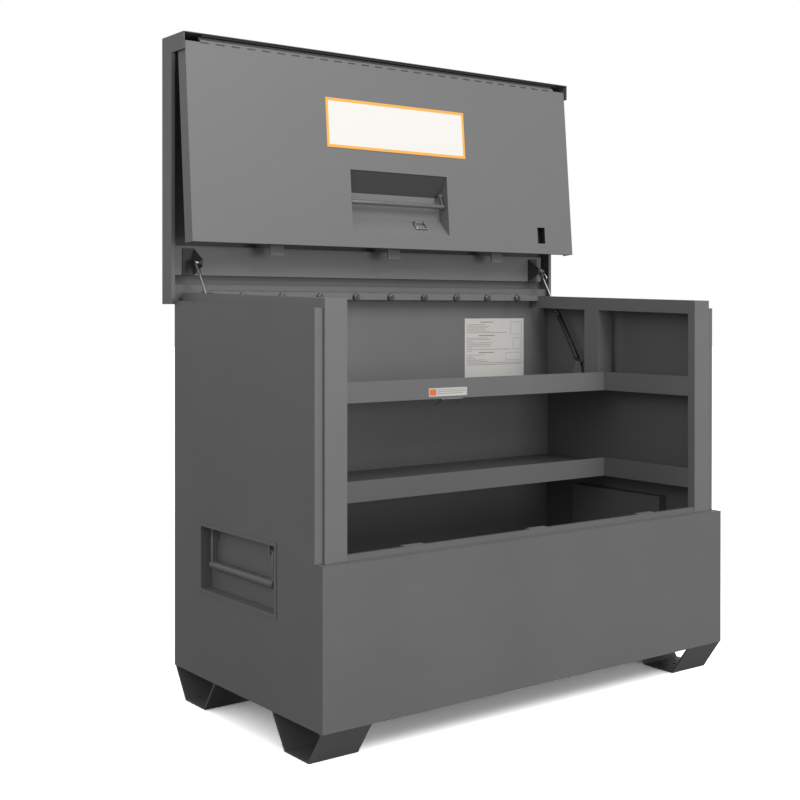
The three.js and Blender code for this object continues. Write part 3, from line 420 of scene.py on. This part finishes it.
SIDES = {"right": 1, "left": -1}
FINISH = {
    "tub_front_panel": TUB_PAINTED_SHADE, "back_panel": BODY, "bottom_panel": PAINTED_LIGHT, "upper_shelf": BODY,
    "lower_shelf": TUB_PAINTED_SHADE, "lid_shell": BODY, "lid_channel": PAINTED_LIGHT, "door_shell": DOOR, "door_recess": RECESS_HOOD_SHADE,
    "grab_bar": HANDLE, "latch_rail": BODY, "lock_case": LOCK_SHADE, "hasp_loop": BRIGHT, "label_plate": PLATE,
    "shelf_edge_label": CARD, "back_wall_card": CARD, "shelf_wire_clip": BRIGHT, "door_seal_strip": SEAL_SHADE_RUBBER,
    "rear_hinge_fixed_leaf": BODY, "rear_hinge_moving_leaf": BODY, "rear_hinge_pin": ZINC,
    "door_hinge_lid_leaf": DOOR, "door_hinge_door_leaf": DOOR, "door_hinge_pin": ZINC, "strike_centre": BODY,
}
SIDED_FINISH = {
    "side_panel": SIDE, "neck_channel": BODY, "front_post": BODY, "shelf_divider": BODY,
    "handle_pocket": SIDE, "bail_handle": HANDLE, "front_foot": FOOT, "rear_foot": FOOT, "strike": BODY,
    "strut_foot_bracket": BODY, "strut_fitting": ZINC, "strut_tube": STRUT, "strut_guide": ZINC,
    "strut_rod": ROD, "strut_head_bracket": BRACKET,
}
for base_name, finish in SIDED_FINISH.items():
    for side in SIDES:
        FINISH[f"{base_name}_{side}"] = finish


def dress_nodes():
    """Gives every shown node its finish and a small rounding of its edges."""
    for name, piece in nodes.items():
        piece.data.materials.clear()
        piece.data.materials.append(FINISH[name])
        soften = piece.modifiers.new("edge", "BEVEL")
        soften.width = EDGE_ROUNDING
        soften.segments = EDGE_SEGMENTS
        soften.limit_method = "ANGLE"
        soften.angle_limit = math.radians(EDGE_ANGLE)
        soften.harden_normals = True


# Finer pieces

def circle(middle, across, over, radius, sides):
    """A ring of points round the middle, in the plane of two directions, its radius in millimetres."""
    turns = [2 * math.pi * step / sides for step in range(sides)]
    return [middle + (across * math.cos(t) + over * math.sin(t)) * (radius / MILLIMETRES) for t in turns]


class Shape:
    """Points and faces of one piece, in metres in the frame, built from rings, bars and slabs."""

    def __init__(self, at=place):
        self.at = at
        self.points = []
        self.faces = []

    def skin(self, rings, loop=False):
        """Joins rings of equally many points, and closes both ends unless the rings run round in a loop."""
        start, count = len(self.points), len(rings[0])
        for ring in rings:
            self.points.extend(ring)
        for i in range(len(rings) if loop else len(rings) - 1):
            here, there = start + i * count, start + (i + 1) % len(rings) * count
            for j in range(count):
                k = (j + 1) % count
                self.faces.append((here + j, here + k, there + k, there + j))
        if not loop:
            last = start + (len(rings) - 1) * count
            self.faces.append(tuple(start + j for j in range(count)))
            self.faces.append(tuple(last + j for j in range(count)))

    def turned(self, start, end, profile, sides=ROUND_SIDES, loop=False):
        """A turned piece: the profile lists (millimetres from start, radius) along the line to end."""
        origin, axis = self.at(*start), (self.at(*end) - self.at(*start)).normalized()
        across = axis.orthogonal().normalized()
        over = axis.cross(across)
        rings = []
        for along, radius in profile:
            middle = origin + axis * (along / MILLIMETRES)
            rings.append(circle(middle, across, over, radius, sides))
        self.skin(rings, loop)

    def wire(self, corners, radius, bend, sides=WIRE_SIDES, closed=False):
        """A round wire along a list of corners, each rounded with the bend radius."""
        path = rounded_path([self.at(*corner) for corner in corners], bend / MILLIMETRES, closed)
        count = len(path)
        across = None
        rings = []
        for i, point in enumerate(path):
            before = path[(i - 1) % count] if closed or i else point
            after = path[(i + 1) % count] if closed or i < count - 1 else point
            ahead = (after - before).normalized()
            across = ahead.orthogonal() if across is None else across - ahead * across.dot(ahead)
            across.normalize()
            over = ahead.cross(across)
            rings.append(circle(point, across, over, radius, sides))
        self.skin(rings, closed)

    def slab(self, x0, x1, y0, y1, z0, z1):
        """A thin flat piece between two corners."""
        outline = ((x0, y0), (x1, y0), (x1, y1), (x0, y1))
        self.skin([[self.at(x, y, z) for x, y in outline] for z in (z0, z1)])

    def printed(self, left, right, face, bottom, top):
        """A thin printed bar on an upright face."""
        self.slab(left, right, face - PRINT_PROUD, face + PRINT_SUNK, bottom, top)

    def made(self, name, material, body, replaced=()):
        """Turns the collected faces into a piece that rides on a body of the CAD."""
        mesh = bpy.data.meshes.new(name)
        mesh.from_pydata(self.points, [], self.faces)
        work = bmesh.new()
        work.from_mesh(mesh)
        bmesh.ops.recalc_face_normals(work, faces=work.faces)
        work.to_mesh(mesh)
        work.free()
        mesh.polygons.foreach_set("use_smooth", [True] * len(mesh.polygons))
        mesh.set_sharp_from_angle(angle=math.radians(SHARP_ANGLE))
        mesh.materials.append(material)
        piece = bpy.data.objects.new(name, mesh)
        scene.collection.objects.link(piece)
        if replaced:
            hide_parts(*replaced)
        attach(piece, body)


def rounded_path(corners, bend, closed):
    """The corners of a path with each one replaced by an arc, apart from the ends of an open path."""
    count = len(corners)
    path = []
    for i, corner in enumerate(corners):
        if not closed and i in (0, count - 1):
            path.append(corner)
            continue
        back = (corners[(i - 1) % count] - corner).normalized()
        ahead = (corners[(i + 1) % count] - corner).normalized()
        half = back.angle(ahead) / 2
        run = bend / math.tan(half)
        centre = corner + (back + ahead).normalized() * (bend / math.sin(half))
        first = (corner + back * run - centre).normalized()
        last = (corner + ahead * run - centre).normalized()
        steps = range(BEND_STEPS + 1)
        path.extend(centre + first.slerp(last, step / BEND_STEPS) * bend for step in steps)
    return path


def mirrored_profile(end, length):
    """A profile that is the same at both ends of a length, from the one at its start."""
    return end + [(length - along, radius) for along, radius in reversed(end)]


def shifted(profile, distance):
    """A profile moved along its line."""
    return [(distance + along, radius) for along, radius in profile]


def bail_handle(name, side):
    """Bent round bar with pins turned into the lugs and a thick grip with rounded ends."""
    x, middle, high = side * BAIL_PIVOT[0], BAIL_PIVOT[1], BAIL_PIVOT[2]
    low = high - BAIL_DROP
    sleeve = [(0, BAIL_BAR), (BAIL_TAPER, BAIL_SLEEVE), (BAIL_DROP - BAIL_TAPER, BAIL_SLEEVE)]
    shape = Shape()
    for end in (1, -1):
        leg = middle + end * BAIL_HALF
        corners = [(x, leg - end * BAIL_PIN, high), (x, leg, high), (x, leg, low + BAIL_SUNK)]
        shape.wire(corners, BAIL_BAR, BAIL_BEND)
        shape.turned((x, leg, high - BAIL_TAPER), (x, leg, low), sleeve, PIN_SIDES)
        washer = [(x, leg - end * offset, high) for offset in (BAIL_WASHER_START, BAIL_WASHER_END)]
        shape.turned(*washer, BAIL_WASHER, PIN_SIDES)
    reach = BAIL_HALF + GRIP_OVERHANG
    grip = mirrored_profile(GRIP_END, 2 * reach)
    shape.turned((x, middle - reach, low), (x, middle + reach, low), grip, GRIP_SIDES)
    shape.made(f"bail_bar_{name}", HANDLE, f"bail_{name}", [f"bail_handle_{name}"])


def rounded_strip(first, last, radius):
    """Outline of a flat arm with round ends, as (y, z) points round the ends first and last."""
    lead = math.atan2(last[1] - first[1], last[0] - first[0])
    outline = []
    for centre, start in ((last, lead - math.pi / 2), (first, lead + math.pi / 2)):
        for step in range(END_STEPS + 1):
            turn = start + math.pi * step / END_STEPS
            outline.append((centre[0] + radius * math.cos(turn), centre[1] + radius * math.sin(turn)))
    return outline


def grab_bar():
    """A straight round pull bar on two flat arms beside the recess's end walls, with pivot stubs."""
    shape = Shape(on_door)
    half = GRAB_ARM + GRAB_OVERHANG
    profile = mirrored_profile(GRAB_END, 2 * half)
    shape.turned((-half, *GRAB_BAR), (half, *GRAB_BAR), profile, ROUND_SIDES)
    outline = rounded_strip(GRAB_BAR, GRAB_PIVOT, ARM_RADIUS)
    for end in (1, -1):
        faces = end * (GRAB_ARM + ARM_INNER), end * (GRAB_ARM + ARM_OUTER)
        shape.skin([[on_door(x, y, z) for y, z in outline] for x in faces])
        line = (end * (GRAB_ARM - STUB_INNER), *GRAB_PIVOT), (end * (GRAB_ARM + STUB_OUTER), *GRAB_PIVOT)
        shape.turned(*line, STUB, PIN_SIDES)
        shape.turned(*line, COLLAR, BOSS_SIDES)
    shape.made("grab_bar_straight", HANDLE, "grab_bar", ["grab_bar"])


def hasp_loop():
    """The padlock loop: one closed wire that hangs in the two ears."""
    x, y, z = HASP_PLACE
    shape = Shape(on_door)
    corners = [(x - HASP_HALF, y, z), (x + HASP_HALF, y, z)]
    corners += [(x + HASP_HALF, *HASP_BAR), (x - HASP_HALF, *HASP_BAR)]
    shape.wire(corners, HASP_WIRE, HASP_BEND, closed=True)
    shape.made("hasp_wire", BRIGHT, "hasp", ["hasp_loop"])


def label_border():
    """Raised enamel border round the bare label plate, mitred at its corners."""
    face, front = PLATE_FACE, PLATE_FACE - BORDER_PROUD
    corners = [(-1, PLATE_BOTTOM, 1), (1, PLATE_BOTTOM, 1), (1, PLATE_TOP, -1), (-1, PLATE_TOP, -1)]
    rings = []
    for hand, z, up in corners:
        x = hand * PLATE_HALF
        inner_x, inner_z = x - hand * BORDER_WIDTH, z + up * BORDER_WIDTH
        section = [(x, face, z), (x, front, z), (inner_x, front, inner_z), (inner_x, face, inner_z)]
        rings.append([on_door(*point) for point in section])
    shape = Shape(on_door)
    shape.skin(rings, loop=True)
    shape.made("label_border", ORANGE, "door")


def hinge_bolts():
    """Bolts of the rear hinge through the rim's front lip: washers, nuts and threads, and heads behind."""
    shape = Shape()
    for x in NUT_PLACES:
        ahead = (x, NUT_FACE, NUT_Z), (x, NUT_FACE - BOLT_RUN, NUT_Z)
        shape.turned(*ahead, WASHER_PROFILE, WASHER_SIDES)
        shape.turned(*ahead, NUT_PROFILE, HEXAGON)
        shape.turned(*ahead, THREAD_PROFILE, THREAD_SIDES)
        behind = (x, LIP_BACK, NUT_Z), (x, LIP_BACK + BOLT_RUN, NUT_Z)
        shape.turned(*behind, HEAD_PROFILE, PIN_SIDES)
    shape.made("rear_hinge_bolts", NUT, "box")


def hinge_gap_shade_slabs():
    """Painted shade of the door hinge: dark slabs in the gaps below the lid leaf's knuckles."""
    shape = Shape(on_door)
    step = 2 * DOOR_HINGE_HALF / KNUCKLE_PAIRS
    for i in range(KNUCKLE_PAIRS):
        x = -DOOR_HINGE_HALF + i * step
        left, right = x - GAP_SHADE_MARGIN, x + step / 2 + GAP_SHADE_MARGIN
        shape.slab(left, right, GAP_SHADE_FACE, GAP_SHADE_BACK, GAP_SHADE_LOW, GAP_SHADE_HIGH)
    shape.made("door_hinge_gap_shade", GAP_SHADE, "door")


def strut_points(side):
    """The ends of a strut's line and its length."""
    foot = (side * STRUT_FOOT[0], STRUT_FOOT[1], STRUT_FOOT[2])
    head = (side * STRUT_HEAD[0], STRUT_HEAD[1], STRUT_HEAD[2])
    return foot, head, math.dist(foot, head)


def along_strut(side, distance, across, beside):
    """A point on, in front of or beside the strut's own axis."""
    foot, head, length = strut_points(side)
    run, rise = (head[1] - foot[1]) / length, (head[2] - foot[2]) / length
    y = foot[1] + run * distance - rise * across
    z = foot[2] + rise * distance + run * across
    return (foot[0] + beside, y, z)


def strut_eye(shape, centre):
    """The ring at the foot of a strut, about an axis across the box, with rounded edges."""
    x, y, z = centre
    width, rim = 2 * EYE_HALF, EYE_RADIUS - EYE_ROUNDING
    profile = [(0, EYE_BORE), (0, rim), (EYE_ROUNDING, EYE_RADIUS)]
    profile += [(width - EYE_ROUNDING, EYE_RADIUS), (width, rim), (width, EYE_BORE)]
    shape.turned((x - EYE_HALF, y, z), (x + EYE_HALF, y, z), profile, ROUND_SIDES, loop=True)


def strut_body(name, side):
    """The strut's tube with rolled ends, and the fitting and eye at its foot."""
    foot, head, length = strut_points(side)
    tube_end = TUBE_START + length / 2
    lip = [(tube_end - back, radius) for back, radius in TUBE_LIP]
    shape = Shape()
    shape.turned(foot, head, [TUBE_BORE] + lip + TUBE_BASE, GRIP_SIDES)
    shape.turned(foot, head, SHANK, PIN_SIDES)
    strut_eye(shape, foot)
    replaced = [f"strut_tube_{name}", f"strut_fitting_{name}"]
    shape.made(f"strut_body_{name}", STRUT, f"strut_tube_{name}", replaced)


def strut_rod(name, side):
    """The strut's rod with its socket and eye."""
    foot, head, length = strut_points(side)
    start = length * ROD_START_SHARE
    socket = length - SOCKET_LENGTH
    shape = Shape()
    shape.turned(foot, head, shifted(ROD_TIP, start) + [(socket, ROD_RADIUS)], BOSS_SIDES)
    shape.turned(foot, head, shifted(SOCKET_NUT, socket), HEXAGON)
    shape.turned(foot, head, shifted(SOCKET_START, socket) + shifted(SOCKET_END, length), BOSS_SIDES)
    x, y, z = head
    shape.turned((x - EYE_HALF, y, z), (x + EYE_HALF, y, z), ROD_EYE, ROUND_SIDES)
    shape.made(f"strut_rod_turned_{name}", ROD, f"strut_rod_{name}", [f"strut_rod_{name}"])


def strut_clip(name, side):
    """Bright spring clip on the eye of the strut, with its tail bent out below."""
    x, y, z = strut_points(side)[1]
    length = strut_points(side)[2]
    inner, outer = side * CLIP_INNER, side * CLIP_OUTER
    corners = [(x + inner, y + back, z + up) for back, up in CLIP_EYE]
    corners.append(along_strut(side, length - CLIP_NECK[0], CLIP_NECK[1], inner))
    corners += [along_strut(side, length - down, across, outer) for down, across in CLIP_TAIL]
    shape = Shape()
    shape.wire(corners, CLIP_WIRE, CLIP_BEND, CLIP_SIDES)
    shape.made(f"strut_clip_{name}", BRIGHT, f"strut_rod_{name}")


def card_rules():
    """Plain ruled lines and empty frames on the card of the back wall."""
    shape = Shape()

    def rule(left, top, length, height):
        x, z = CARD_LEFT + left, CARD_TOP - top
        shape.printed(x, x + length, CARD_FACE, z - height, z)

    for top, length in HEADINGS:
        rule(HEADING_MIDDLE - length / 2, top, length, HEADING_HEIGHT)
    for top, lengths in LINE_BLOCKS:
        for i, length in enumerate(lengths):
            rule(LINE_LEFT, top + LINE_PITCH * i, length, LINE_HEIGHT)
    for left, top, width, height in FRAMES:
        for edge_top in (top, top + height):
            rule(left, edge_top, width, FRAME_LINE)
        for edge_left in (left, left + width):
            rule(edge_left, top, FRAME_LINE, height + FRAME_LINE)
    shape.made("card_rules", INK, "box")


def shelf_label_marks():
    """The plain orange block and the thin rules of the shelf's edge label."""
    left, top, face = SHELF_LABEL_LEFT, SHELF_LABEL_TOP, SHELF_LABEL_FACE
    block = Shape()
    block.printed(left + MARK_LEFT, left + MARK_RIGHT, face, top - MARK_BOTTOM, top - MARK_TOP)
    block.made("shelf_label_block", RED_ORANGE, "box")
    rules = Shape()
    start = left + RULE_LEFT
    for drop, length in RULES:
        rules.printed(start, start + length, face, top - drop - RULE_HEIGHT, top - drop)
    rules.made("shelf_label_rules", INK, "box")


def make_pieces():
    """All the finer pieces."""
    for name, side in SIDES.items():
        bail_handle(name, side)
        strut_body(name, side)
        strut_rod(name, side)
        strut_clip(name, side)
    grab_bar()
    hasp_loop()
    label_border()
    hinge_bolts()
    hinge_gap_shade_slabs()
    card_rules()
    shelf_label_marks()


# Stage and light

def make_stage():
    """A pale floor, white to the camera where it is lit, that throws back less light than it shows."""
    floor = bpy.data.meshes.new("floor")
    reach = FLOOR_REACH
    corners = [(-reach, -reach, 0), (reach, -reach, 0), (reach, reach, 0), (-reach, reach, 0)]
    floor.from_pydata(corners, [], [(0, 1, 2, 3)])
    piece = bpy.data.objects.new("floor", floor)
    scene.collection.objects.link(piece)
    material, tree, shader = new_material("floor")
    surface = node(tree, "ShaderNodeBsdfDiffuse")
    rays = node(tree, "ShaderNodeLightPath")
    level = remap(tree, rays.outputs["Is Camera Ray"], 0, 1, FLOOR_BOUNCE, FLOOR_SEEN)
    tree.links.new(level, surface.inputs["Color"])
    tree.links.new(surface.outputs["BSDF"], tree.nodes["Material Output"].inputs["Surface"])
    tree.nodes.remove(shader)
    floor.materials.append(material)


def make_world():
    """White surroundings, seen at full strength and lighting the box less strongly."""
    world = bpy.data.worlds.new("world")
    world.use_nodes = True
    scene.world = world
    tree = world.node_tree
    background = tree.nodes["Background"]
    rays = node(tree, "ShaderNodeLightPath")
    seen = node(tree, "ShaderNodeMath", operation="MAXIMUM")
    tree.links.new(rays.outputs["Is Camera Ray"], seen.inputs[0])
    tree.links.new(rays.outputs["Is Transmission Ray"], seen.inputs[1])
    level = remap(tree, seen.outputs["Value"], 0, 1, AMBIENT, 1.0)
    background.inputs["Color"].default_value = (1, 1, 1, 1)
    tree.links.new(level, background.inputs["Strength"])


def make_lamp(name, location, target, size, power):
    """A square soft light aimed at a target."""
    data = bpy.data.lights.new(name, "AREA")
    data.shape = "SQUARE"
    data.size = size
    data.energy = power
    lamp = bpy.data.objects.new(name, data)
    scene.collection.objects.link(lamp)
    lamp.location = location
    lamp.rotation_euler = (Vector(target) - Vector(location)).to_track_quat("-Z", "Y").to_euler()


dress_nodes()
make_pieces()
make_stage()
make_world()
for lamp_name, settings in LAMPS.items():
    make_lamp(lamp_name, *settings)
scene.view_settings.view_transform = "Standard"
